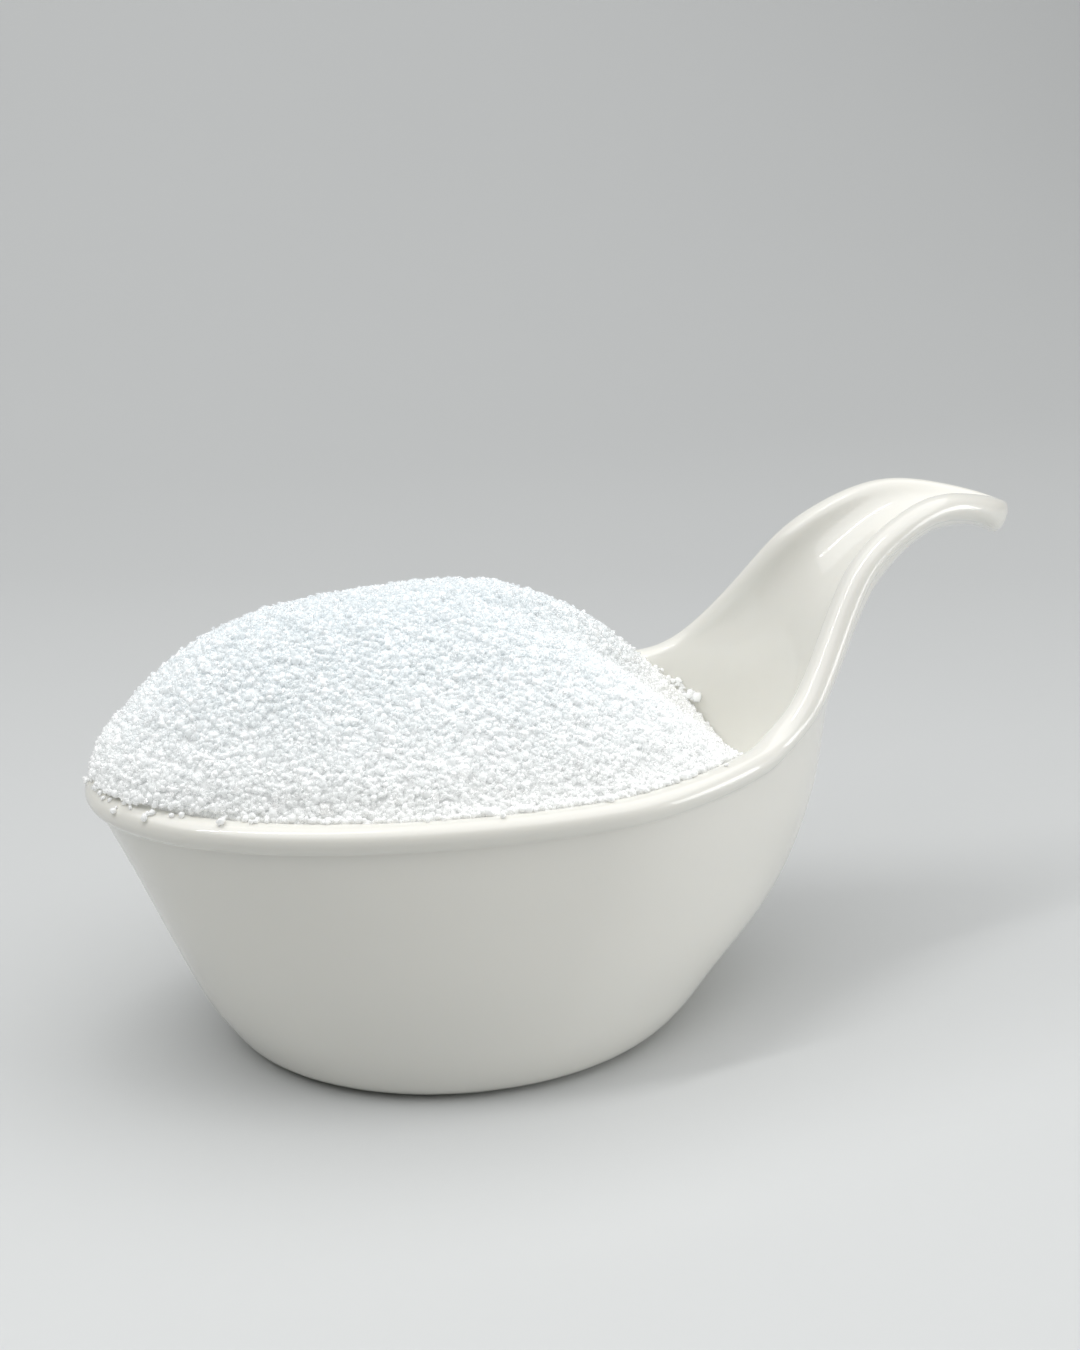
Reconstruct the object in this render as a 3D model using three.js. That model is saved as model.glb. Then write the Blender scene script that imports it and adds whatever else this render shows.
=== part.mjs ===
// Gourd-shaped tasting bowl with a curled channel handle, heaped with granulated crystals.
// Millimetres, +Z up. The bowl stands on z = 0 and the handle points along +X.

import * as THREE from 'three';
import { LoftGeometry } from 'three/addons/geometries/LoftGeometry.js';
import { ImprovedNoise } from 'three/addons/math/ImprovedNoise.js';

// ---------------------------------------------------------------- driving dimensions

const RIM_HEIGHT = 28.5;
const WALL = 2.6;

// Rolled lip: an oval bead, wider than the wall and pushed a little outwards.
const LIP_HALF_WIDTH = 1.65;
const LIP_HALF_HEIGHT = 1.4;
const LIP_SHIFT = 0.35;
const LIP_DROP = 1.1;
const LIP_UNDERCUT_ANGLE = -40;

// Flat foot, and the floor of the hollow.
const FOOT_INSET = 1.5;
const FLOOR_INSET = 3;
const MIDDLE_INSET = 6;
const MIDDLE_CROWN = 0.1;

// Level rings of the middle of the wall, from the foot to the rim: height, reach to the
// left, reach to the right, half width, how far right of the foot's centre it is widest, and
// how much it narrows towards the handle.
const BODY = [
  { z: 1.45, left: 22.5, right: 22.7, half: 19.7, widest: 0.1, taper: 0 },
  { z: 3.2, left: 23.7, right: 24.8, half: 20.6, widest: 0.5, taper: 0 },
  { z: 6.4, left: 25.7, right: 27.9, half: 21.6, widest: 1.1, taper: 0.04 },
  { z: 13.0, left: 28.6, right: 34.8, half: 22.8, widest: 2.6, taper: 0.12 },
  { z: 21.0, left: 31.9, right: 38.7, half: 23.1, widest: 4.6, taper: 0.2 },
  { z: RIM_HEIGHT, left: 35.2, right: 40.2, half: 22.8, widest: 7.0, taper: 0.3 },
];

// Troughs of the handle, from the bowl to the tip: where their two edges and their spine
// are in side view, half the distance between the edges, the half angle of their arc, and
// the direction round the bowl whose wall line ends there.
const HANDLE = [
  { edgeX: 29.3, edgeZ: 30.1, spineX: 40.8, spineZ: 32.0, half: 14.1, arc: 60, ends: 48 },
  { edgeX: 33.3, edgeZ: 32.8, spineX: 41.6, spineZ: 35.2, half: 12.4, arc: 62, ends: 41 },
  { edgeX: 37.8, edgeZ: 38.8, spineX: 43.3, spineZ: 38.8, half: 9.4, arc: 66, ends: 34 },
  { edgeX: 42.4, edgeZ: 45.1, spineX: 46.2, spineZ: 42.4, half: 7.0, arc: 68, ends: 27 },
  { edgeX: 50.9, edgeZ: 49.4, spineX: 51.9, spineZ: 46.7, half: 5.0, arc: 66, ends: 18 },
  { edgeX: 58.5, edgeZ: 48.8, spineX: 58.5, spineZ: 47.4, half: 2.7, arc: 64, ends: 9 },
  { edgeX: 64.5, edgeZ: 46.7, spineX: 64.4, spineZ: 46.5, half: 0.7, arc: 60, ends: 0 },
];
const HANDLE_TAPER = [0.28, 0.2, 0.1];
const ROOT_DIRECTION = 56;
const BEFORE_ROOT = 64;

// How far the rim has risen where the handle starts, and where it starts to rise.
const RIM_LIFT = 0.5;
const LIFT_DIRECTION = 100;

// Heap of crystals: its top point, how full its sides are towards the handle, to the
// near and far side and at the left, and how low its edge lies against the wall below the handle.
const HEAP_TOP = new THREE.Vector3(-3.5, 0, 44.7);
const HEAP_FULLNESS = { handle: 1.4, near: 1.8, far: 2.5, left: 3.8 };
const HEAP_GAP = 0.5;
const HEAP_BOTTOM = WALL + MIDDLE_CROWN + HEAP_GAP;
const HEAP_BOTTOM_INSET = 2;
const HEAP_FIRST_RING = 0.9;
const HEAP_LOW_RING = 3.7;
const HEAP_LOW_ARC = { near: [18, 66], far: [12, 54] };
const SPILL_END = 0.55;

// How far round the lip the crystals lie over it, as angles on its section: 180 is its inner
// side and 90 its crest.
const SPILL = { handle: 175, near: 140, left: 78, far: 58 };
const BUMP_HEIGHT = 0.5;
const BUMP_SIZE = 1.5;

// Mesh steps.
const LEFT_COLUMNS = 26;
const HANDLE_COLUMNS = 52;
const OUTER_ROWS = 20;
const INNER_ROWS = 17;
const LIP_STEPS = 6;
const EVEN_COLUMNS = 2;
const HEAP_COLUMNS = 92;
const HEAP_WALL_ROWS = 8;
const HEAP_LIP_ROWS = 3;
const HEAP_ROWS = 21;

// ---------------------------------------------------------------- wall surface

const RIM_RING = BODY.length - 1;
const radians = THREE.MathUtils.degToRad;
const { lerp, smoothstep } = THREE.MathUtils;

// Catmull-Rom value of one measure of a list, at a place in the list with a fraction.
function measure(list, name, place) {
  const i = Math.min(Math.floor(place), list.length - 2);
  const f = place - i;
  const b = list[i][name];
  const c = list[i + 1][name];
  const a = i > 0 ? list[i - 1][name] : 2 * b - c;
  const d = i + 2 < list.length ? list[i + 2][name] : 2 * c - b;
  const cubic = 3 * b - a - 3 * c + d;
  const square = 2 * a - 5 * b + 4 * c - d;
  return b + 0.5 * f * (c - a + f * (square + f * cubic));
}

// Width of a ring or trough at an angle from its spine, narrowed towards the spine.
const taperedSine = (angle, taper) => (
  Math.sin(angle) * (1 - taper * Math.max(0, Math.cos(angle)) ** 1.5)
);

// Point of a level ring in a direction: 0 at the handle, 180 opposite.
function bodyPoint(ring, direction) {
  const angle = radians(Math.abs(direction));
  const widest = measure(BODY, 'widest', ring);
  const reach = Math.cos(angle) > 0
    ? measure(BODY, 'right', ring) - widest
    : measure(BODY, 'left', ring) + widest;
  const width = taperedSine(angle, measure(BODY, 'taper', ring));
  const lift = 1 - smoothstep(Math.abs(direction), ROOT_DIRECTION, LIFT_DIRECTION);
  return new THREE.Vector3(
    widest + reach * Math.cos(angle),
    Math.sign(direction) * measure(BODY, 'half', ring) * width,
    measure(BODY, 'z', ring) + RIM_LIFT * lift * Math.max(0, ring / RIM_RING) ** 4,
  );
}

// The part of a level ring that a trough starts from, stated as a trough.
function rootTrough(ring, direction) {
  const edge = bodyPoint(RIM_RING, direction);
  const spine = bodyPoint(ring, 0);
  return {
    edgeX: edge.x,
    edgeZ: edge.z,
    spineX: spine.x,
    spineZ: spine.z,
    half: edge.y,
    arc: ROOT_DIRECTION,
    taper: BODY[RIM_RING].taper,
    ends: direction,
  };
}

const TROUGHS = [
  rootTrough(RIM_RING - 1, BEFORE_ROOT),
  rootTrough(RIM_RING, ROOT_DIRECTION),
  ...HANDLE.map((trough, i) => ({ ...trough, taper: HANDLE_TAPER[i] ?? 0 })),
];
const ROOT_TROUGH = 1;
const LAST_RING = RIM_RING + TROUGHS.length - 1 - ROOT_TROUGH;

// Point of a trough of the handle, in a direction round the bowl.
function handlePoint(place, direction) {
  const get = (name) => measure(TROUGHS, name, place);
  const share = Math.min(1, Math.abs(direction) / Math.max(get('ends'), 1e-6));
  const arc = radians(get('arc'));
  const taper = Math.max(0, get('taper'));
  const depth = (Math.cos(share * arc) - Math.cos(arc)) / (1 - Math.cos(arc));
  const width = taperedSine(share * arc, taper) / taperedSine(arc, taper);
  return new THREE.Vector3(
    lerp(get('edgeX'), get('spineX'), depth),
    Math.sign(direction) * get('half') * width,
    lerp(get('edgeZ'), get('spineZ'), depth),
  );
}

// Point of the middle of the wall: level rings first, then the troughs of the handle.
function wallPoint(ring, direction) {
  return ring <= RIM_RING
    ? bodyPoint(ring, direction)
    : handlePoint(ring - RIM_RING + ROOT_TROUGH, direction);
}

// Ring on which the wall line in a direction meets the rim or the handle's edge.
function rimRing(direction) {
  const turn = Math.abs(direction);
  if (turn >= ROOT_DIRECTION) return RIM_RING;
  let low = RIM_RING;
  let high = LAST_RING;
  for (let step = 0; step < 30; step += 1) {
    const middle = (low + high) / 2;
    if (measure(TROUGHS, 'ends', middle - RIM_RING + ROOT_TROUGH) > turn) low = middle;
    else high = middle;
  }
  return high;
}

// One spot of the wall: its point, the outward normal, and the way up along the wall, square
// to the ring through the spot.
function wallSpot(share, direction) {
  const STEP = 0.5;
  const SHARE_STEP = 0.004;
  const at = (part, turned) => wallPoint(part * rimRing(turned), turned);
  const below = Math.max(0, share - SHARE_STEP);
  const above = Math.min(1, share + SHARE_STEP);
  const run = at(above, direction).sub(at(below, direction));
  const round = at(share, direction + STEP).sub(at(share, direction - STEP)).normalize();
  const outward = round.clone().cross(run).normalize();
  return { point: at(share, direction), outward, upward: outward.clone().cross(round) };
}

class WallCurve extends THREE.Curve {
  constructor(direction) {
    super();
    this.direction = direction;
  }

  getPoint(share) {
    return wallPoint(share * rimRing(this.direction), this.direction);
  }
}

// One wall line from the foot to the rim, in even rows.
function wallLine(direction, rows) {
  const curve = new WallCurve(direction);
  const line = [];
  for (let row = 0; row <= rows; row += 1) {
    line.push(wallSpot(curve.getUtoTmapping(row / rows), direction));
  }
  return line;
}

const beside = (spot, out, up = 0) => spot.point.clone()
  .addScaledVector(spot.outward, out)
  .addScaledVector(spot.upward, up);

// Point on the lip's oval section, or at a distance outside it.
function lipPoint(spot, angle, distance = 0) {
  const turn = radians(angle);
  const out = LIP_SHIFT + (LIP_HALF_WIDTH + distance) * Math.cos(turn);
  return beside(spot, out, (LIP_HALF_HEIGHT + distance) * Math.sin(turn));
}

// ---------------------------------------------------------------- bowl

function directionsRound() {
  const list = [];
  for (let i = 0; i < LEFT_COLUMNS; i += 1) list.push(90 + 180 * i / LEFT_COLUMNS);
  for (let i = 0; i < HANDLE_COLUMNS; i += 1) list.push(-90 + 180 * i / HANDLE_COLUMNS);
  return list.map((turn) => (turn > 180 ? turn - 360 : turn));
}

// The ring, drawn in by a distance towards its centre and laid at a height.
function insetRing(ring, inset, height) {
  return ring.map((point) => {
    const reach = Math.hypot(point.x, point.y);
    const keep = (reach - inset) / reach;
    return new THREE.Vector3(point.x * keep, point.y * keep, height);
  });
}

// Rim spots with their frames averaged over the columns beside them, for an even lip.
function evenRim(lines) {
  const spots = lines.map((line) => line[line.length - 1]);
  return spots.map((spot, i) => {
    const outward = new THREE.Vector3();
    const upward = new THREE.Vector3();
    for (let k = -EVEN_COLUMNS; k <= EVEN_COLUMNS; k += 1) {
      const other = spots[(i + k + spots.length) % spots.length];
      const weight = EVEN_COLUMNS + 1 - Math.abs(k);
      outward.addScaledVector(other.outward, weight);
      upward.addScaledVector(other.upward, weight);
    }
    return { point: spot.point, outward: outward.normalize(), upward: upward.normalize() };
  });
}

function bowlGeometry() {
  const outerLines = directionsRound().map((turn) => wallLine(turn, OUTER_ROWS));
  const innerLines = directionsRound().map((turn) => wallLine(turn, INNER_ROWS));
  const rings = [];
  for (let row = 0; row < OUTER_ROWS; row += 1) {
    rings.push(outerLines.map((line) => beside(line[row], WALL / 2)));
  }
  const rim = evenRim(outerLines);
  rings.push(rim.map((spot) => beside(spot, WALL / 2, -LIP_DROP)));
  rings.unshift(insetRing(rings[0], FOOT_INSET, 0));
  for (let step = 0; step <= LIP_STEPS; step += 1) {
    const angle = lerp(LIP_UNDERCUT_ANGLE, 180, step / LIP_STEPS);
    rings.push(rim.map((spot) => lipPoint(spot, angle)));
  }
  for (let row = INNER_ROWS - 1; row > 0; row -= 1) {
    rings.push(innerLines.map((line) => beside(line[row], -WALL / 2)));
  }
  const floor = insetRing(rings[rings.length - 1], FLOOR_INSET, WALL);
  rings.push(floor, insetRing(floor, MIDDLE_INSET, WALL + MIDDLE_CROWN));
  return new LoftGeometry(rings, { closed: true, capStart: true, capEnd: true });
}

// ---------------------------------------------------------------- heap

// Ring of the wall that the heap's edge reaches, lower in front of the handle.
function heapEdgeRing(direction) {
  const [low, high] = direction > 0 ? HEAP_LOW_ARC.far : HEAP_LOW_ARC.near;
  const share = smoothstep(Math.abs(direction), low, high);
  return lerp(HEAP_LOW_RING, RIM_RING, share);
}

// Blend of values stated for the handle, the near and far side and the left, in a direction.
function roundTheBowl(values, direction, handleEnd = 1) {
  const along = Math.cos(radians(direction));
  const side = direction > 0 ? values.far : values.near;
  if (along > 0) return lerp(side, values.handle, Math.min(1, along / handleEnd) ** 4);
  return lerp(side, values.left, along ** 4);
}

const noise = new ImprovedNoise();

function bump(point) {
  const k = 1 / BUMP_SIZE;
  return BUMP_HEIGHT * noise.noise(point.x * k, point.y * k, point.z * k);
}

function heapGeometry() {
  const turns = [];
  for (let i = 0; i < HEAP_COLUMNS; i += 1) turns.push(-180 + 360 * i / HEAP_COLUMNS);
  const rings = [];
  for (let row = 0; row <= HEAP_WALL_ROWS; row += 1) {
    rings.push(turns.map((turn) => {
      const ring = lerp(HEAP_FIRST_RING, heapEdgeRing(turn), row / HEAP_WALL_ROWS);
      return beside(wallSpot(ring / rimRing(turn), turn), -WALL / 2 - HEAP_GAP);
    }));
  }
  rings.unshift(insetRing(rings[0], HEAP_BOTTOM_INSET, HEAP_BOTTOM));
  for (let row = 1; row <= HEAP_LIP_ROWS; row += 1) {
    rings.push(turns.map((turn) => {
      const angle = lerp(180, roundTheBowl(SPILL, turn, SPILL_END), row / HEAP_LIP_ROWS);
      return lipPoint(wallSpot(heapEdgeRing(turn) / rimRing(turn), turn), angle, HEAP_GAP);
    }));
  }
  const edge = rings[rings.length - 1];
  for (let row = 1; row < HEAP_ROWS; row += 1) {
    const away = 1 - row / HEAP_ROWS;
    rings.push(edge.map((point, i) => {
      const fall = away ** roundTheBowl(HEAP_FULLNESS, turns[i]);
      const spot = new THREE.Vector3(
        lerp(HEAP_TOP.x, point.x, away),
        lerp(HEAP_TOP.y, point.y, away),
        lerp(HEAP_TOP.z, point.z, fall),
      );
      spot.z += bump(spot);
      return spot;
    }));
  }
  return new LoftGeometry(rings, { closed: true, capStart: true, capEnd: true });
}

// ---------------------------------------------------------------- assembly

const glaze = new THREE.MeshStandardMaterial({ color: 0xe9e8e0, roughness: 0.18, metalness: 0 });
const crystal = new THREE.MeshStandardMaterial({ color: 0xf3f6f7, roughness: 0.5, metalness: 0 });

const bowl = new THREE.Mesh(bowlGeometry(), glaze);
bowl.name = 'bowl';

const sweetener = new THREE.Mesh(heapGeometry(), crystal);
sweetener.name = 'sweetener';

const part = new THREE.Group();
part.add(bowl, sweetener);

export default part;
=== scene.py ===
"""Gourd-shaped tasting bowl with a curled channel handle, heaped with granulated crystals.

Metres, +Z up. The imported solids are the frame: the bowl and the heap are refined from them,
and loose crystals are scattered over the heap.
"""

import math

import bmesh
import bpy
import numpy as np
from bpy.props import (
    FloatProperty,
    FloatVectorProperty,
    IntProperty,
    PointerProperty,
)
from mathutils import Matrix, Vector
from mathutils.bvhtree import BVHTree


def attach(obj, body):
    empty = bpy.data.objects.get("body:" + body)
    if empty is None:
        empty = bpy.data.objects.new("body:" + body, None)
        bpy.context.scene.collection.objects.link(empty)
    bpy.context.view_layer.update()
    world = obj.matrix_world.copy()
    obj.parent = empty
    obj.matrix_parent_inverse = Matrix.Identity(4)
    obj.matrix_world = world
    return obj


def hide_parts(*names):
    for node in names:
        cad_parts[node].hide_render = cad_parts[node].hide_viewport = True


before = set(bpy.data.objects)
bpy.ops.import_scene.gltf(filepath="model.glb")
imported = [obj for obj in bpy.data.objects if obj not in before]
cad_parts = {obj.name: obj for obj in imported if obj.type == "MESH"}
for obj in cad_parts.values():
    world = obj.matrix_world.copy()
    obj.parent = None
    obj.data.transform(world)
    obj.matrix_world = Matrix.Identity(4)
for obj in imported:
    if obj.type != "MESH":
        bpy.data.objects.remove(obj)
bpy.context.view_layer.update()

bl_info = {
    "name": "Tasting bowl with crystals",
    "version": (1, 0, 0),
    "blender": (4, 5, 0),
    "location": "3D Viewport > Sidebar > Tasting bowl",
    "description": "Builds a glazed tasting bowl heaped with granulated crystals",
    "category": "Add Mesh",
}

MM = 0.001
BODY = "root"

# The photograph's frame in pixels, and the longer side of the camera's sensor.
FRAME_WIDTH = 1080
FRAME_HEIGHT = 1350
SENSOR_MM = 36.0


# ---------------------------------------------------------------- settings


class BowlSettings(bpy.types.PropertyGroup):
    """Finish of the bowl"""

    glaze_color: FloatVectorProperty(
        name="Glaze color",
        description="Ivory white of the glaze",
        subtype="COLOR",
        size=3,
        min=0.0,
        max=1.0,
        default=(0.81, 0.80, 0.748),
    )
    pooled_color: FloatVectorProperty(
        name="Pooled glaze color",
        description="Slightly deeper tone where the glaze lies thicker",
        subtype="COLOR",
        size=3,
        min=0.0,
        max=1.0,
        default=(0.795, 0.782, 0.725),
    )
    gloss_roughness: FloatProperty(
        name="Gloss roughness",
        description="Roughness of the fired glaze under its clear coat",
        default=0.31,
        min=0.0,
        max=1.0,
    )
    smoothing: IntProperty(
        name="Smoothing",
        description="Subdivision levels that round the faceted solid",
        default=2,
        min=1,
        max=3,
    )


class HeapSettings(bpy.types.PropertyGroup):
    """Form of the heap under the loose crystals"""

    relief_size: FloatProperty(
        name="Relief size",
        description="Width of the bumps on the heap",
        default=0.7 * MM,
        min=0.1 * MM,
        subtype="DISTANCE",
    )
    relief_height: FloatProperty(
        name="Relief height",
        description="Height of the bumps on the heap",
        default=0.2 * MM,
        min=0.0,
        subtype="DISTANCE",
    )
    sink: FloatProperty(
        name="Sink",
        description="How far the heap lies under the tops of its loose crystals",
        default=0.15 * MM,
        min=0.0,
        subtype="DISTANCE",
    )
    lip_trim: FloatProperty(
        name="Lip trim",
        description="How far the heap's edge is drawn off the lip at the left end",
        default=0.9 * MM,
        min=0.0,
        subtype="DISTANCE",
    )
    flank_fill: FloatProperty(
        name="Flank fill",
        description="How far the heap's flank stands out above the left end",
        default=0.5 * MM,
        min=0.0,
        subtype="DISTANCE",
    )
    heap_color: FloatVectorProperty(
        name="Heap color",
        description="White of the packed crystals",
        subtype="COLOR",
        size=3,
        min=0.0,
        max=1.0,
        default=(0.965, 0.975, 0.978),
    )


class CrystalSettings(bpy.types.PropertyGroup):
    """Size and finish of the loose crystals"""

    grain: FloatProperty(
        name="Crystal size",
        description="Typical width of a crystal",
        default=0.56 * MM,
        min=0.1 * MM,
        subtype="DISTANCE",
    )
    seed: IntProperty(
        name="Seed",
        description="Start of the random draws",
        default=7,
        min=0,
    )
    crystal_color: FloatVectorProperty(
        name="Crystal color",
        description="Bluish white of the milky crystals",
        subtype="COLOR",
        size=3,
        min=0.0,
        max=1.0,
        default=(0.965, 0.975, 0.978),
    )
    ior: FloatProperty(
        name="Index of refraction",
        description="Refraction of the clear crystals",
        default=1.5,
        min=1.0,
        max=2.0,
    )


class StageSettings(bpy.types.PropertyGroup):
    """Camera, light and backdrop"""

    target: FloatVectorProperty(
        name="Target",
        description="Point at the middle of the picture",
        subtype="TRANSLATION",
        size=3,
        default=(8.004 * MM, -3.280 * MM, 36.05 * MM),
    )
    turn: FloatProperty(
        name="Turn",
        description="How far the camera stands to the left of the bowl's side view",
        subtype="ANGLE",
        default=math.radians(22.28),
    )
    elevation: FloatProperty(
        name="Elevation",
        description="Height of the camera above the horizon as an angle",
        subtype="ANGLE",
        default=math.radians(18.29),
    )
    distance: FloatProperty(
        name="Distance",
        description="From the camera to the target",
        subtype="DISTANCE",
        default=198.2 * MM,
    )
    focal_pixels: FloatProperty(
        name="Focal length in pixels",
        description="Focal length measured on the photograph's frame",
        default=1982.0,
    )
    backdrop_color: FloatVectorProperty(
        name="Backdrop color",
        description="Pale grey of the seamless backdrop",
        subtype="COLOR",
        size=3,
        min=0.0,
        max=1.0,
        default=(0.615, 0.626, 0.626),
    )


# ---------------------------------------------------------------- materials


# Heights between which the painted light on the crystals goes from its low tint, lighter and
# warmer, to its top one, a cooler and deeper painted shade.
PAINTED_LIGHT_LOWEST = 29 * MM
PAINTED_LIGHT_HIGHEST = 45 * MM
# A painted glow, set as emission, that stands in for the light scattered inside the crystals.
PAINTED_CRYSTAL_GLOW = 0.11
CLEAR_COLOR = (0.99, 0.99, 0.99)
# Level direction in which the painted shade on the backdrop deepens, where less light reaches the
# paper far off, and from where to where along it, in metres.
PAINTED_SHADE_DIRECTION = (0.38, 0.92, 0.0)
PAINTED_SHADE_START = -0.1
PAINTED_SHADE_END = 0.9


def new_material(name):
    material = bpy.data.materials.new(name)
    material.use_nodes = True
    return material, material.node_tree.nodes, material.node_tree.links


def mottle_group():
    """Cloudy tone with finer flecks in it, as a mask from 0 to 1."""
    name = "mottle"
    if name in bpy.data.node_groups:
        return bpy.data.node_groups[name]
    group = bpy.data.node_groups.new(name, "ShaderNodeTree")
    face = group.interface
    labels = (("Cloud size", 1.0), ("Fleck size", 1.0), ("Fleck share", 0.3), ("Detail", 3.0))
    for label, default in labels:
        socket = face.new_socket(label, in_out="INPUT", socket_type="NodeSocketFloat")
        socket.default_value = default
    face.new_socket("Mask", in_out="OUTPUT", socket_type="NodeSocketFloat")
    nodes, links = group.nodes, group.links
    inside = nodes.new("NodeGroupInput")
    outside = nodes.new("NodeGroupOutput")
    place = nodes.new("ShaderNodeTexCoord")
    clouds = nodes.new("ShaderNodeTexNoise")
    links.new(inside.outputs["Detail"], clouds.inputs["Detail"])
    flecks = nodes.new("ShaderNodeTexNoise")
    flecks.inputs["Detail"].default_value = 1.0
    mix = nodes.new("ShaderNodeMix")
    mix.data_type = "FLOAT"
    links.new(place.outputs["Object"], clouds.inputs["Vector"])
    links.new(place.outputs["Object"], flecks.inputs["Vector"])
    links.new(inside.outputs["Cloud size"], clouds.inputs["Scale"])
    links.new(inside.outputs["Fleck size"], flecks.inputs["Scale"])
    links.new(inside.outputs["Fleck share"], mix.inputs["Factor"])
    links.new(clouds.outputs["Fac"], mix.inputs["A"])
    links.new(flecks.outputs["Fac"], mix.inputs["B"])
    links.new(mix.outputs["Result"], outside.inputs["Mask"])
    return group


def add_mottle(nodes, clouds_per_m, flecks_per_m, share, detail=3.0):
    node = nodes.new("ShaderNodeGroup")
    node.node_tree = mottle_group()
    node.inputs["Cloud size"].default_value = clouds_per_m
    node.inputs["Fleck size"].default_value = flecks_per_m
    node.inputs["Fleck share"].default_value = share
    node.inputs["Detail"].default_value = detail
    return node


def ramp(nodes, links, source, stops):
    node = nodes.new("ShaderNodeValToRGB")
    while len(node.color_ramp.elements) < len(stops):
        node.color_ramp.elements.new(0.5)
    for element, (position, color) in zip(node.color_ramp.elements, stops):
        element.position = position
        element.color = (*color, 1.0)
    links.new(source, node.inputs["Fac"])
    return node


def product(nodes, links, first, second):
    """One color multiplied by another."""
    both = nodes.new("ShaderNodeMix")
    both.data_type = "RGBA"
    both.blend_type = "MULTIPLY"
    both.inputs["Factor"].default_value = 1.0
    links.new(first, both.inputs["A"])
    links.new(second, both.inputs["B"])
    return both.outputs["Result"]


def grey(value):
    return (value, value, value)


def glaze_material(settings):
    """Ivory glaze: deep gloss, faint clouds in its tone and a barely wavy surface."""
    material, nodes, links = new_material("ivory_glaze")
    shader = nodes["Principled BSDF"]
    mottle = add_mottle(nodes, clouds_per_m=25.0, flecks_per_m=60.0, share=0.2, detail=0.0)
    tone = ramp(
        nodes, links, mottle.outputs["Mask"],
        [(0.2, settings.pooled_color), (0.8, settings.glaze_color)],
    )
    links.new(tone.outputs["Color"], shader.inputs["Base Color"])
    low, high = settings.gloss_roughness, settings.gloss_roughness + 0.03
    gloss = ramp(nodes, links, mottle.outputs["Mask"], [(0.2, grey(low)), (0.8, grey(high))])
    links.new(gloss.outputs["Color"], shader.inputs["Roughness"])
    wave = add_mottle(nodes, clouds_per_m=60.0, flecks_per_m=120.0, share=0.2, detail=0.0)
    bump = nodes.new("ShaderNodeBump")
    bump.inputs["Strength"].default_value = 0.03
    bump.inputs["Distance"].default_value = 0.3 * MM
    links.new(wave.outputs["Mask"], bump.inputs["Height"])
    links.new(bump.outputs["Normal"], shader.inputs["Normal"])
    shader.inputs["IOR"].default_value = 1.5
    shader.inputs["Coat Weight"].default_value = 0.7
    shader.inputs["Coat Roughness"].default_value = 0.02
    shader.inputs["Subsurface Weight"].default_value = 0.12
    shader.inputs["Subsurface Radius"].default_value = (1.0, 0.9, 0.75)
    shader.inputs["Subsurface Scale"].default_value = 1.2 * MM
    return material


def crystal_material(name, color, roughness, transmission, ior, alpha):
    """Crystals with a tone of their own each, frosted in places, with painted light by height and a
    faint painted glow.
    """
    material, nodes, links = new_material(name)
    shader = nodes["Principled BSDF"]
    own = nodes.new("ShaderNodeAttribute")
    own.attribute_name = "tone"
    dull = tuple(c * 0.975 for c in color)
    tone = ramp(nodes, links, own.outputs["Fac"], [(0.0, dull), (0.4, color)])
    # Painted light by height: lighter and warmer low in the heap, painted shade towards its top.
    painted_light_tone = painted_light_by_height(nodes, links, tone.outputs["Color"])
    links.new(painted_light_tone, shader.inputs["Base Color"])
    frost = add_mottle(nodes, clouds_per_m=900.0, flecks_per_m=4000.0, share=0.4)
    rough = ramp(
        nodes, links, frost.outputs["Mask"],
        [(0.4, grey(roughness)), (0.65, grey(roughness + 0.2))],
    )
    links.new(rough.outputs["Color"], shader.inputs["Roughness"])
    shader.inputs["IOR"].default_value = ior
    shader.inputs["Transmission Weight"].default_value = transmission
    shader.inputs["Alpha"].default_value = alpha
    shader.inputs["Coat Weight"].default_value = 0.6
    shader.inputs["Coat Roughness"].default_value = 0.05
    # Painted glow: the crystals give off faint light in their own colour, standing in for light
    # scattered inside them.
    shader.inputs["Emission Color"].default_value = (*color, 1.0)
    shader.inputs["Emission Strength"].default_value = PAINTED_CRYSTAL_GLOW
    return material


def painted_light_by_height(nodes, links, color):
    """The color with painted light by height: lighter and tinted warm low in the heap, and a
    cooler, deeper painted shade towards its top.
    """
    place = nodes.new("ShaderNodeTexCoord")
    height = nodes.new("ShaderNodeSeparateXYZ")
    links.new(place.outputs["Object"], height.inputs["Vector"])
    share = nodes.new("ShaderNodeMapRange")
    share.inputs["From Min"].default_value = PAINTED_LIGHT_LOWEST
    share.inputs["From Max"].default_value = PAINTED_LIGHT_HIGHEST
    links.new(height.outputs["Z"], share.inputs["Value"])
    painted_shading = ramp(
        nodes, links, share.outputs["Result"],
        [(0.0, (1.0, 0.995, 0.985)), (0.55, (0.965, 0.98, 0.985)), (1.0, (0.9, 0.93, 0.945))],
    )
    return product(nodes, links, color, painted_shading.outputs["Color"])


def heap_material(settings):
    """Packed crystals seen between the loose ones."""
    material, nodes, links = new_material("packed_crystals")
    shader = nodes["Principled BSDF"]
    mottle = add_mottle(nodes, clouds_per_m=1400.0, flecks_per_m=3600.0, share=0.5)
    dull = tuple(c * 0.95 for c in settings.heap_color)
    tone = ramp(
        nodes, links, mottle.outputs["Mask"],
        [(0.34, dull), (0.52, settings.heap_color)],
    )
    # Painted light by height, as on the loose crystals: lighter low, painted shade towards the top.
    painted_light_tone = painted_light_by_height(nodes, links, tone.outputs["Color"])
    links.new(painted_light_tone, shader.inputs["Base Color"])
    bump = nodes.new("ShaderNodeBump")
    bump.inputs["Strength"].default_value = 0.5
    bump.inputs["Distance"].default_value = 0.2 * MM
    links.new(mottle.outputs["Mask"], bump.inputs["Height"])
    links.new(bump.outputs["Normal"], shader.inputs["Normal"])
    shader.inputs["Roughness"].default_value = 0.4
    return material


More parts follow.
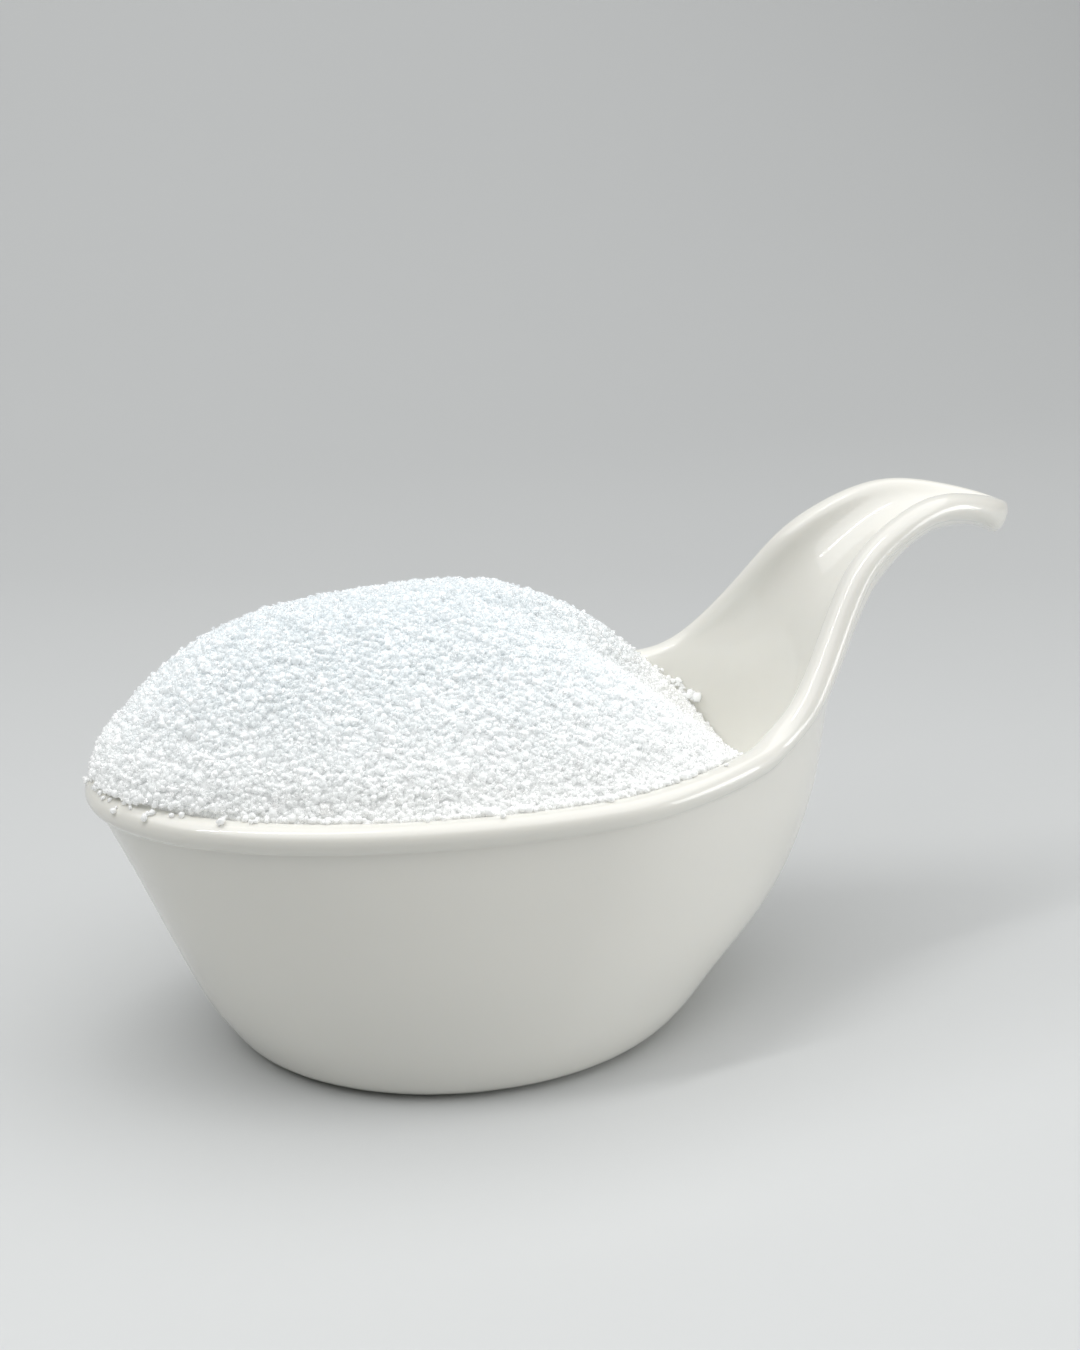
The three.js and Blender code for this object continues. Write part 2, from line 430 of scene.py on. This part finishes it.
def backdrop_material(settings):
    """Smooth pale paper, with a faint unevenness, and painted shade that deepens it to a darker
    grey far off.
    """
    material, nodes, links = new_material("backdrop_paper")
    shader = nodes["Principled BSDF"]
    mottle = add_mottle(nodes, clouds_per_m=6.0, flecks_per_m=700.0, share=0.2)
    color = settings.backdrop_color
    dull = tuple(c * 0.985 for c in color)
    tone = ramp(nodes, links, mottle.outputs["Mask"], [(0.3, dull), (0.7, color)])
    shader.inputs["Roughness"].default_value = 0.55
    place = nodes.new("ShaderNodeTexCoord")
    depth = nodes.new("ShaderNodeVectorMath")
    depth.operation = "DOT_PRODUCT"
    depth.inputs[1].default_value = PAINTED_SHADE_DIRECTION
    links.new(place.outputs["Object"], depth.inputs[0])
    share = nodes.new("ShaderNodeMapRange")
    share.inputs["From Min"].default_value = PAINTED_SHADE_START
    share.inputs["From Max"].default_value = PAINTED_SHADE_END
    links.new(depth.outputs["Value"], share.inputs["Value"])
    # Painted shade: the paper darkens with distance, as if less light reached it far off.
    painted_falloff = ramp(
        nodes, links, share.outputs["Result"],
        [(0.06, grey(1.0)), (0.13, grey(0.92)), (0.27, grey(0.8)), (0.7, grey(0.8))],
    )
    shade = product(nodes, links, tone.outputs["Color"], painted_falloff.outputs["Color"])
    links.new(shade, shader.inputs["Base Color"])
    return material


# ---------------------------------------------------------------- shared modelling steps


def deselect_everything():
    if bpy.context.object and bpy.context.object.mode != "OBJECT":
        bpy.ops.object.mode_set(mode="OBJECT")
    bpy.ops.object.select_all(action="DESELECT")


def make_active(piece):
    deselect_everything()
    piece.select_set(True)
    bpy.context.view_layer.objects.active = piece


def copy_of_node(node_name, piece_name):
    """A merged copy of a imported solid, with its triangles joined to quads again."""
    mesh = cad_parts[node_name].data.copy()
    mesh.name = piece_name
    mesh.materials.clear()
    piece = bpy.data.objects.new(piece_name, mesh)
    bpy.context.scene.collection.objects.link(piece)
    make_active(piece)
    bpy.ops.object.mode_set(mode="EDIT")
    bpy.ops.mesh.select_all(action="SELECT")
    bpy.ops.mesh.customdata_custom_splitnormals_clear()
    bpy.ops.mesh.remove_doubles(threshold=0.002 * MM)
    bpy.ops.mesh.tris_convert_to_quads(
        face_threshold=math.radians(60), shape_threshold=math.radians(60)
    )
    bpy.ops.mesh.select_all(action="DESELECT")
    bpy.ops.object.mode_set(mode="OBJECT")
    return piece


def apply_modifier(piece, kind, name, **values):
    modifier = piece.modifiers.new(name, kind)
    for key, value in values.items():
        setattr(modifier, key, value)
    make_active(piece)
    bpy.ops.object.modifier_apply(modifier=name)


def finish_piece(piece, material):
    piece.data.materials.clear()
    piece.data.materials.append(material)
    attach(piece, BODY)


def mesh_arrays(piece):
    """Points and triangles of a piece as arrays."""
    mesh = piece.data
    mesh.calc_loop_triangles()
    points = np.empty(len(mesh.vertices) * 3)
    mesh.vertices.foreach_get("co", points)
    corners = np.empty(len(mesh.loop_triangles) * 3, dtype=np.int32)
    mesh.loop_triangles.foreach_get("vertices", corners)
    return points.reshape(-1, 3), corners.reshape(-1, 3)


# ---------------------------------------------------------------- bowl


class MESH_OT_tasting_bowl(bpy.types.Operator):
    """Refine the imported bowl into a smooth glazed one"""

    bl_idname = "mesh.tasting_bowl"
    bl_label = "Tasting bowl"

    def execute(self, context):
        settings = context.scene.tasting_bowl
        bowl = copy_of_node("bowl", "glazed_bowl")
        levels = settings.smoothing
        apply_modifier(
            bowl, "SUBSURF", "round_off", levels=levels, render_levels=levels
        )
        make_active(bowl)
        bpy.ops.object.shade_smooth()
        finish_piece(bowl, glaze_material(settings))
        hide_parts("bowl")
        return {"FINISHED"}


# ---------------------------------------------------------------- heap


HEAP_SMOOTHING = 2
# Edges sharper than this keep their form, by this crease, when the heap is rounded.
SHARP_ANGLE = math.radians(75)
SHARP_CREASE = 0.8
# How fast the relief comes in as the heap's side turns upwards.
RELIEF_RISE = 3.0
# The left end: level directions count as left once they point this far to the left, and wholly
# so this much further on.
LEFT_START = 0.2
LEFT_SPREAD = 0.6
# Heights in mm: where the heap is drawn off the lip, fading out upwards, and where it is filled.
LIP_LOWEST = 25.0
LIP_HIGHEST = 32.0
LIP_FADE = 3.0
FLANK_MIDDLE = 32.5
FLANK_FADE = 3.0


class MESH_OT_crystal_heap(bpy.types.Operator):
    """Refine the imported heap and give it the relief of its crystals"""

    bl_idname = "mesh.crystal_heap"
    bl_label = "Heap of crystals"

    def execute(self, context):
        settings = context.scene.crystal_heap
        heap = copy_of_node("sweetener", "packed_heap")
        make_active(heap)
        bpy.ops.object.mode_set(mode="EDIT")
        bpy.ops.mesh.select_mode(type="EDGE")
        bpy.ops.mesh.select_all(action="DESELECT")
        bpy.ops.mesh.edges_select_sharp(sharpness=SHARP_ANGLE)
        bpy.ops.transform.edge_crease(value=SHARP_CREASE)
        bpy.ops.mesh.select_mode(type="VERT")
        bpy.ops.mesh.select_all(action="DESELECT")
        bpy.ops.object.mode_set(mode="OBJECT")
        apply_modifier(
            heap, "SUBSURF", "round_off", levels=HEAP_SMOOTHING, render_levels=HEAP_SMOOTHING
        )
        group = heap.vertex_groups.new(name="open_top")
        for vertex in heap.data.vertices:
            weight = min(1.0, max(0.0, vertex.normal.z * RELIEF_RISE))
            group.add([vertex.index], weight, "REPLACE")
        self.trim_left_end(heap, settings)
        texture = bpy.data.textures.new("crystal_relief", "VORONOI")
        texture.noise_scale = settings.relief_size
        texture.distance_metric = "DISTANCE"
        apply_modifier(
            heap, "DISPLACE", "relief", texture=texture, texture_coords="LOCAL",
            direction="NORMAL", strength=-settings.relief_height,
            mid_level=-settings.sink / settings.relief_height, vertex_group="open_top",
        )
        heap.vertex_groups.clear()
        make_active(heap)
        bpy.ops.object.shade_flat()
        finish_piece(heap, heap_material(settings))
        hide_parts("sweetener")
        return {"FINISHED"}

    def trim_left_end(self, heap, settings):
        """Draw the heap off the lip at its left end and fill its flank above."""
        points, _ = mesh_arrays(heap)
        level = points * (1.0, 1.0, 0.0)
        reach = np.linalg.norm(level, axis=1)
        outward = level / np.maximum(reach, MM)[:, None]
        left = np.clip((-outward[:, 0] - LEFT_START) / LEFT_SPREAD, 0.0, 1.0)
        height = points[:, 2] / MM
        under = np.clip((LIP_HIGHEST - height) / LIP_FADE, 0.0, 1.0)
        at_lip = under * np.clip(height - LIP_LOWEST, 0.0, 1.0)
        on_flank = np.clip(1.0 - np.abs(height - FLANK_MIDDLE) / FLANK_FADE, 0.0, 1.0)
        shift = left * (settings.flank_fill * on_flank - settings.lip_trim * at_lip)
        points = points + outward * shift[:, None]
        heap.data.vertices.foreach_set("co", points.ravel())
        heap.data.update()


# ---------------------------------------------------------------- loose crystals


# Kinds of loose crystals: how many, their size as a share of the crystal size, how far their
# middles lie above the heap in mm, lowest and highest, how uneven their sizes are, and form.
# Their finish: how rough they are, how much light goes through them, and how opaque they are.
CRYSTAL_KINDS = {
    "milky_crystals": {
        "count": 9800, "size": 1.0, "lift": (-0.16, 0.02), "uneven": 0.2, "form": "rounded",
        "roughness": 0.2, "transmission": 0.0, "alpha": 1.0,
    },
    "frosted_crystals": {
        "count": 9800, "size": 0.95, "lift": (-0.10, 0.06), "uneven": 0.2, "form": "rounded",
        "roughness": 0.1, "transmission": 0.0, "alpha": 0.6,
    },
    "pale_crystals": {
        "count": 9800, "size": 0.9, "lift": (-0.05, 0.2), "uneven": 0.22, "form": "rounded",
        "roughness": 0.05, "transmission": 0.0, "alpha": 0.5,
    },
    "clear_crystals": {
        "count": 1500, "size": 0.8, "lift": (0.02, 0.18), "uneven": 0.25, "form": "prism",
        "roughness": 0.03, "transmission": 0.8, "alpha": 1.0,
    },
    "fine_crystals": {
        "count": 11000, "size": 0.5, "lift": (0.0, 0.34), "uneven": 0.25, "form": "fine",
        "roughness": 0.08, "transmission": 0.0, "alpha": 0.6,
    },
    "edge_crystals": {
        "count": 4500, "size": 0.9, "lift": (-0.05, 0.3), "uneven": 0.2, "form": "rounded",
        "roughness": 0.1, "transmission": 0.0, "alpha": 0.8,
    },
}
# Narrowest and widest crystal, and how far crystals are nudged from their spots, in mm.
NARROWEST = 0.2
WIDEST = 1.2
NUDGE = 0.1
# How much a crystal's proportions differ, and how far its corners shift, as shares of its width.
STRETCH = 0.25
CORNER_SHIFT = 0.12
# A crystal's middle stays this share of its width off the glaze, looked for within this many mm.
CLEARANCE = 0.42
CLEARANCE_REACH = 2
# The open part of the heap: the least upward share of a face's normal, and its lowest height in mm.
OPEN_UP = 0.12
OPEN_LOWEST = 15
# The edge of the heap: the same two, and how far from the bowl it reaches in mm.
EDGE_UP = -0.85
EDGE_LOWEST = 26.8
EDGE_REACH = 1.5
# Lone crystals on the glaze beside the heap: how many at most, from how many tries, on faces that
# turn up this much, and how far from the heap they may lie and how fast they thin out, in mm.
STRAY_COUNT = 130
STRAY_TRIES = 30000
STRAY_UP = 0.3
STRAY_REACH = 2.2
STRAY_THINNING = 0.5
# Crystals that fill the gap between the heap and the glaze along the edge: how many, on faces
# that turn inwards this much, then in mm how far from the heap, how high and how far off the glaze.
GAP_COUNT = 5000
GAP_INWARD = 0.25
GAP_REACH = 1.3
GAP_LOWEST = 26.3
GAP_LIFT = (0.1, 0.5)


def crystal_template(name, form):
    """One crystal about one unit wide, as points and triangles."""
    deselect_everything()
    if form == "rounded":
        bpy.ops.mesh.primitive_ico_sphere_add(subdivisions=1, radius=0.56)
    elif form == "fine":
        bpy.ops.mesh.primitive_uv_sphere_add(segments=4, ring_count=3, radius=0.6)
    else:
        bpy.ops.mesh.primitive_cube_add(size=0.9)
    piece = bpy.context.object
    piece.name = name
    bpy.ops.object.mode_set(mode="EDIT")
    if form == "prism":
        bpy.ops.mesh.select_all(action="DESELECT")
        bpy.ops.mesh.select_mode(type="EDGE")
        shell = bmesh.from_edit_mesh(piece.data)
        for edge in shell.edges:
            a, b = edge.verts
            edge.select_set(abs(a.co.z - b.co.z) > 0.5)
        bmesh.update_edit_mesh(piece.data)
        bpy.ops.mesh.bevel(offset=0.2, segments=1)
        bpy.ops.mesh.select_mode(type="VERT")
    bpy.ops.mesh.select_all(action="SELECT")
    bpy.ops.mesh.quads_convert_to_tris(quad_method="BEAUTY", ngon_method="BEAUTY")
    bpy.ops.object.mode_set(mode="OBJECT")
    points, triangles = mesh_arrays(piece)
    bpy.data.objects.remove(piece, do_unlink=True)
    return points, triangles


def random_turns(draw, count):
    """Random rotation matrices."""
    q = draw.normal(size=(count, 4))
    q /= np.linalg.norm(q, axis=1, keepdims=True)
    w, x, y, z = q.T
    rows = [
        [1 - 2 * (y * y + z * z), 2 * (x * y - z * w), 2 * (x * z + y * w)],
        [2 * (x * y + z * w), 1 - 2 * (x * x + z * z), 2 * (y * z - x * w)],
        [2 * (x * z - y * w), 2 * (y * z + x * w), 1 - 2 * (x * x + y * y)],
    ]
    return np.array(rows).transpose(2, 0, 1)


def faces_of(piece):
    """Corner points, unit normals, doubled areas and middles of a piece's triangles."""
    points, triangles = mesh_arrays(piece)
    corners = points[triangles]
    normals = np.cross(corners[:, 1] - corners[:, 0], corners[:, 2] - corners[:, 0])
    areas = np.maximum(np.linalg.norm(normals, axis=1), 1e-15)
    return corners, normals / areas[:, None], areas, corners.mean(axis=1)


def open_surface(heap):
    """Corners, normals and doubled areas of the heap's faces that lie open."""
    corners, normals, areas, middles = faces_of(heap)
    chosen = (normals[:, 2] > OPEN_UP) & (middles[:, 2] > OPEN_LOWEST * MM)
    return corners[chosen], normals[chosen], areas[chosen]


def edge_surface(heap, bowl_tree):
    """Corners, normals and doubled areas of the heap's faces along its edge, near the bowl."""
    corners, normals, areas, middles = faces_of(heap)
    chosen = (normals[:, 2] > EDGE_UP) & (middles[:, 2] > EDGE_LOWEST * MM)
    for i in np.flatnonzero(chosen):
        chosen[i] = bowl_tree.find_nearest(Vector(middles[i]), EDGE_REACH * MM)[0] is not None
    return corners[chosen], normals[chosen], areas[chosen]


def gap_spots(draw, bowl, heap_tree):
    """Spots between the heap and the glaze along the heap's edge."""
    corners, normals, areas, middles = faces_of(bowl)
    inward = -(middles * normals)[:, :2].sum(axis=1) / np.linalg.norm(middles[:, :2], axis=1)
    chosen = (middles[:, 2] > GAP_LOWEST * MM) & (inward > GAP_INWARD)
    for i in np.flatnonzero(chosen):
        chosen[i] = heap_tree.find_nearest(Vector(middles[i]), GAP_REACH * MM)[0] is not None
    surface = corners[chosen], normals[chosen], areas[chosen]
    spots, ups = spots_on_surface(draw, surface, GAP_COUNT)
    return spots + ups * draw.uniform(*GAP_LIFT, GAP_COUNT)[:, None] * MM


def stray_spots(draw, bowl, heap_tree):
    """Spots on the glaze just beside the heap."""
    corners, normals, areas, middles = faces_of(bowl)
    chosen = (normals[:, 2] > STRAY_UP) & (middles[:, 2] > EDGE_LOWEST * MM)
    surface = corners[chosen], normals[chosen], areas[chosen]
    spots, _ = spots_on_surface(draw, surface, STRAY_TRIES)
    kept = []
    for i, spot in enumerate(spots):
        if heap_tree.ray_cast(Vector(spot), Vector((0, 0, 1)))[0] is not None:
            continue
        distance = heap_tree.find_nearest(Vector(spot), STRAY_REACH * MM)[3]
        if distance is not None and draw.random() < math.exp(-distance / (STRAY_THINNING * MM)):
            kept.append(i)
    return spots[kept[:STRAY_COUNT]]


def spots_on_surface(draw, surface, count):
    """Random spots spread evenly over a surface, and the normals there."""
    corners, normals, areas = surface
    chosen = draw.choice(len(areas), size=count, p=areas / areas.sum())
    u, v = draw.random(count), draw.random(count)
    flip = u + v > 1
    u[flip], v[flip] = 1 - u[flip], 1 - v[flip]
    a, b, c = corners[chosen].transpose(1, 0, 2)
    return a + (b - a) * u[:, None] + (c - a) * v[:, None], normals[chosen]


def keep_off_bowl(tree, spots, sizes):
    """Spots moved out of the porcelain so that each crystal rests on the glaze."""
    moved = spots.copy()
    for i, spot in enumerate(spots):
        clearance = CLEARANCE * sizes[i]
        point, normal, _, _ = tree.find_nearest(Vector(spot), CLEARANCE_REACH * MM)
        if point is None:
            continue
        height = (Vector(spot) - point).dot(normal)
        if height < clearance:
            moved[i] = point + normal * clearance
    return moved


def crystals_mesh(name, draw, template, spots, sizes):
    """One mesh of many crystals, each with its own turn, proportions, corners and tone."""
    points, triangles = template
    count = len(spots)
    shape = 1 + STRETCH * draw.uniform(-1, 1, size=(count, 1, 3))
    corners = points[None] * shape
    corners = corners + CORNER_SHIFT * draw.uniform(-1, 1, size=corners.shape)
    corners = corners * sizes[:, None, None]
    corners = np.einsum("nij,npj->npi", random_turns(draw, count), corners)
    corners = corners + spots[:, None, :]
    step = len(points)
    faces = triangles[None] + (np.arange(count) * step)[:, None, None]
    mesh = bpy.data.meshes.new(name)
    mesh.from_pydata(corners.reshape(-1, 3), [], faces.reshape(-1, 3))
    tone = mesh.attributes.new("tone", "FLOAT", "POINT")
    tone.data.foreach_set("value", np.repeat(draw.random(count), step).astype(np.float32))
    mesh.update()
    piece = bpy.data.objects.new(name, mesh)
    bpy.context.scene.collection.objects.link(piece)
    return piece


class MESH_OT_loose_crystals(bpy.types.Operator):
    """Scatter crystals of several kinds over the heap"""

    bl_idname = "mesh.loose_crystals"
    bl_label = "Loose crystals"

    def execute(self, context):
        settings = context.scene.loose_crystals
        heap = bpy.data.objects["packed_heap"]
        bowl = bpy.data.objects["glazed_bowl"]
        bowl_tree = BVHTree.FromObject(bowl, context.evaluated_depsgraph_get())
        heap_tree = BVHTree.FromObject(heap, context.evaluated_depsgraph_get())
        open_faces = open_surface(heap)
        edge_faces = edge_surface(heap, bowl_tree)
        for number, (name, kind) in enumerate(CRYSTAL_KINDS.items()):
            draw = np.random.default_rng(settings.seed + number)
            count = kind["count"]
            at_edge = name == "edge_crystals"
            surface = edge_faces if at_edge else open_faces
            spots, normals = spots_on_surface(draw, surface, count)
            lift = draw.uniform(*kind["lift"], count) * MM
            nudges = draw.normal(0.0, NUDGE * MM, (count, 3))
            spots = spots + normals * lift[:, None] + nudges
            if at_edge:
                strays = stray_spots(draw, bowl, heap_tree)
                spots = np.concatenate([spots, gap_spots(draw, bowl, heap_tree), strays])
            sizes = settings.grain * kind["size"] * np.exp(
                draw.normal(0.0, kind["uneven"], len(spots))
            )
            sizes = np.clip(sizes, NARROWEST * MM, WIDEST * MM)
            spots = keep_off_bowl(bowl_tree, spots, sizes)
            template = crystal_template(name + "_template", kind["form"])
            piece = crystals_mesh(name, draw, template, spots, sizes)
            make_active(piece)
            if kind["form"] == "rounded":
                bpy.ops.object.shade_smooth()
            finish_piece(piece, self.finish(name, kind, settings))
        return {"FINISHED"}

    def finish(self, name, kind, settings):
        """The material of one kind of crystals."""
        color = CLEAR_COLOR if kind["transmission"] else settings.crystal_color
        return crystal_material(
            name.removesuffix("s"), color, kind["roughness"], kind["transmission"],
            settings.ior, kind["alpha"],
        )


# ---------------------------------------------------------------- stage


# The backdrop in metres: a square of paper that runs up a wall with a round bend.
PAPER_WIDTH = 3.0
PAPER_MIDDLE = (0.0, -0.85, 0.0)
PAPER_RISE = 1.6
PAPER_BEND = 0.4
BEND_STEPS = 24
# Lights: where they stand and their width and length in metres, and their power in watts.
LIGHT_AIM = (0.0, 0.0, 0.02)
LIGHTS = {
    "ceiling_panel": {"place": (0.0, -0.03, 0.75), "size": (1.6, 1.1), "power": 9.0},
    "left_strip": {"place": (-0.2, -0.03, 0.56), "size": (0.014, 0.5), "power": 0.75},
    "right_reflector": {"place": (0.5, -0.25, 0.12), "size": (0.3, 0.2), "power": 1.0},
}
SURROUND_COLOR = (0.97, 1.0, 1.0, 1.0)
SURROUND_STRENGTH = 0.14
# Light passes many pale crystals before it leaves the heap.
DIFFUSE_BOUNCES = 8
SEE_THROUGH_BOUNCES = 32


def camera_back(settings):
    """Unit direction from the target back to the camera."""
    a, e = settings.turn, settings.elevation
    return Vector((-math.sin(a) * math.cos(e), -math.cos(a) * math.cos(e), math.sin(e)))


def area_light(name, place, size, power):
    """A rectangular light that aims at the bowl and isn't seen by the camera."""
    data = bpy.data.lights.new(name, "AREA")
    data.shape = "RECTANGLE"
    data.size, data.size_y = size
    data.energy = power
    light = bpy.data.objects.new(name, data)
    light.location = place
    light.rotation_mode = "QUATERNION"
    light.rotation_quaternion = (Vector(LIGHT_AIM) - Vector(place)).to_track_quat("-Z", "Y")
    light.visible_camera = False
    bpy.context.scene.collection.objects.link(light)


class SCENE_OT_tasting_stage(bpy.types.Operator):
    """Set up the backdrop, the lights and the camera"""

    bl_idname = "scene.tasting_stage"
    bl_label = "Stage"

    def execute(self, context):
        settings = context.scene.tasting_stage
        self.backdrop(settings)
        self.lights(context)
        self.camera(context, settings)
        return {"FINISHED"}

    def backdrop(self, settings):
        deselect_everything()
        bpy.ops.mesh.primitive_plane_add(size=PAPER_WIDTH, location=PAPER_MIDDLE)
        paper = bpy.context.object
        paper.name = "backdrop"
        bpy.ops.object.transform_apply(location=True, rotation=False, scale=False)
        bpy.ops.object.mode_set(mode="EDIT")
        bpy.ops.mesh.select_mode(type="EDGE")
        self.select_far_edge(paper)
        bpy.ops.mesh.extrude_region_move(TRANSFORM_OT_translate={"value": (0, 0, PAPER_RISE)})
        self.select_far_edge(paper)
        bpy.ops.mesh.bevel(offset=PAPER_BEND, segments=BEND_STEPS)
        bpy.ops.mesh.select_mode(type="VERT")
        bpy.ops.object.mode_set(mode="OBJECT")
        bpy.ops.object.shade_smooth()
        paper.data.materials.append(backdrop_material(settings))

    def select_far_edge(self, paper):
        """Select the edge of the floor that lies farthest off."""
        bpy.ops.mesh.select_all(action="DESELECT")
        shell = bmesh.from_edit_mesh(paper.data)
        far = max(vertex.co.y for vertex in shell.verts)
        for edge in shell.edges:
            on_floor = all(abs(vertex.co.z) < MM for vertex in edge.verts)
            at_back = all(abs(vertex.co.y - far) < MM for vertex in edge.verts)
            edge.select_set(on_floor and at_back)
        bmesh.update_edit_mesh(paper.data)

    def lights(self, context):
        for name, light in LIGHTS.items():
            area_light(name, **light)
        world = bpy.data.worlds.new("studio")
        world.use_nodes = True
        surround = world.node_tree.nodes["Background"]
        surround.inputs["Color"].default_value = SURROUND_COLOR
        surround.inputs["Strength"].default_value = SURROUND_STRENGTH
        context.scene.world = world
        context.scene.view_settings.view_transform = "Standard"
        context.scene.cycles.diffuse_bounces = DIFFUSE_BOUNCES
        context.scene.cycles.transparent_max_bounces = SEE_THROUGH_BOUNCES

    def camera(self, context, settings):
        data = bpy.data.cameras.new("camera")
        data.sensor_width = SENSOR_MM
        data.lens = settings.focal_pixels / max(FRAME_WIDTH, FRAME_HEIGHT) * SENSOR_MM
        data.clip_start = 0.01
        data.clip_end = 20.0
        camera = bpy.data.objects.new("camera", data)
        back = camera_back(settings)
        camera.location = Vector(settings.target) + back * settings.distance
        camera.rotation_mode = "QUATERNION"
        camera.rotation_quaternion = (-back).to_track_quat("-Z", "Y")
        context.scene.collection.objects.link(camera)
        context.scene.camera = camera


# ---------------------------------------------------------------- panel and registration


class VIEW3D_PT_tasting_bowl(bpy.types.Panel):
    """Settings and steps of the tasting bowl"""

    bl_label = "Tasting bowl"
    bl_space_type = "VIEW_3D"
    bl_region_type = "UI"
    bl_category = "Tasting bowl"

    def draw(self, context):
        for operator, name in STEPS:
            box = self.layout.box()
            box.operator(operator)
            settings = getattr(context.scene, name)
            for key in settings.__annotations__:
                box.prop(settings, key)


STEPS = [
    ("mesh.tasting_bowl", "tasting_bowl"),
    ("mesh.crystal_heap", "crystal_heap"),
    ("mesh.loose_crystals", "loose_crystals"),
    ("scene.tasting_stage", "tasting_stage"),
]
GROUPS = {
    "tasting_bowl": BowlSettings,
    "crystal_heap": HeapSettings,
    "loose_crystals": CrystalSettings,
    "tasting_stage": StageSettings,
}
CLASSES = [
    *GROUPS.values(),
    MESH_OT_tasting_bowl,
    MESH_OT_crystal_heap,
    MESH_OT_loose_crystals,
    SCENE_OT_tasting_stage,
    VIEW3D_PT_tasting_bowl,
]


def register():
    for cls in CLASSES:
        bpy.utils.register_class(cls)
    for name, group in GROUPS.items():
        setattr(bpy.types.Scene, name, PointerProperty(type=group))


def unregister():
    for name in GROUPS:
        delattr(bpy.types.Scene, name)
    for cls in reversed(CLASSES):
        bpy.utils.unregister_class(cls)


def main():
    register()
    bpy.ops.mesh.tasting_bowl()
    bpy.ops.mesh.crystal_heap()
    bpy.ops.mesh.loose_crystals()
    bpy.ops.scene.tasting_stage()
    deselect_everything()


if __name__ == "__main__":
    main()
